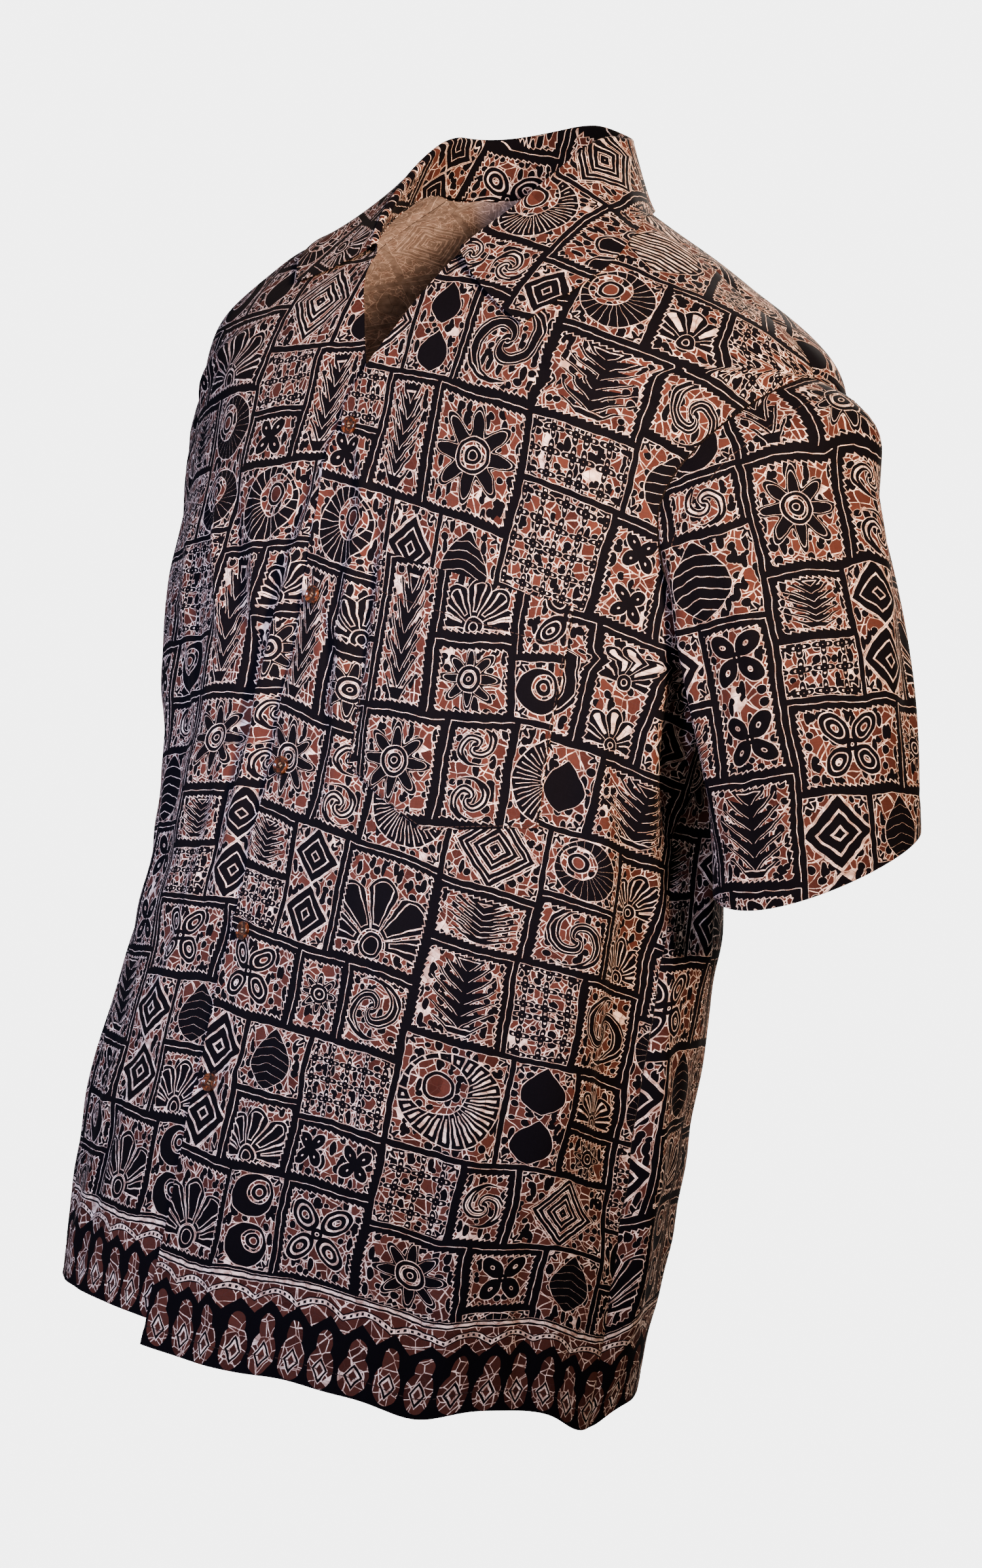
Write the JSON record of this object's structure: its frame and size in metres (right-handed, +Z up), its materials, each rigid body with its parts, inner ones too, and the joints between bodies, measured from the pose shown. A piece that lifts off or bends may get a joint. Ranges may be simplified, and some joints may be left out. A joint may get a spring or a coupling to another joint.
{
  "type": "short-sleeved batik shirt",
  "caption": "Short-sleeved camp-collar shirt in wax-resist printed cloth, buttoned in front, with a patch pocket on the chest, as it hangs on a wearer.",
  "frame": {"origin": "the middle of the neck, level with the neck ends of the shoulder seams, where the wearer holds the shirt up", "axes": "+Z up, along the wearer's body; the wearer faces -Y; +X is the wearer's left"},
  "size_m": [0.6856, 0.37, 0.817],
  "materials": {
    "batik_cloth": "light plain-weave cotton, wax-resist printed in black and red-brown on tan",
    "button": "glossy amber and tortoise brown"
  },
  "bodies": {
    "root": {"back": "batik_cloth", "left_front": "batik_cloth", "right_front": "batik_cloth", "collar": "batik_cloth", "left_sleeve": "batik_cloth", "right_sleeve": "batik_cloth", "pocket": "batik_cloth", "button_1": "button", "button_2": "button", "button_3": "button", "button_4": "button", "button_5": "button"}
  },
  "joints": []
}
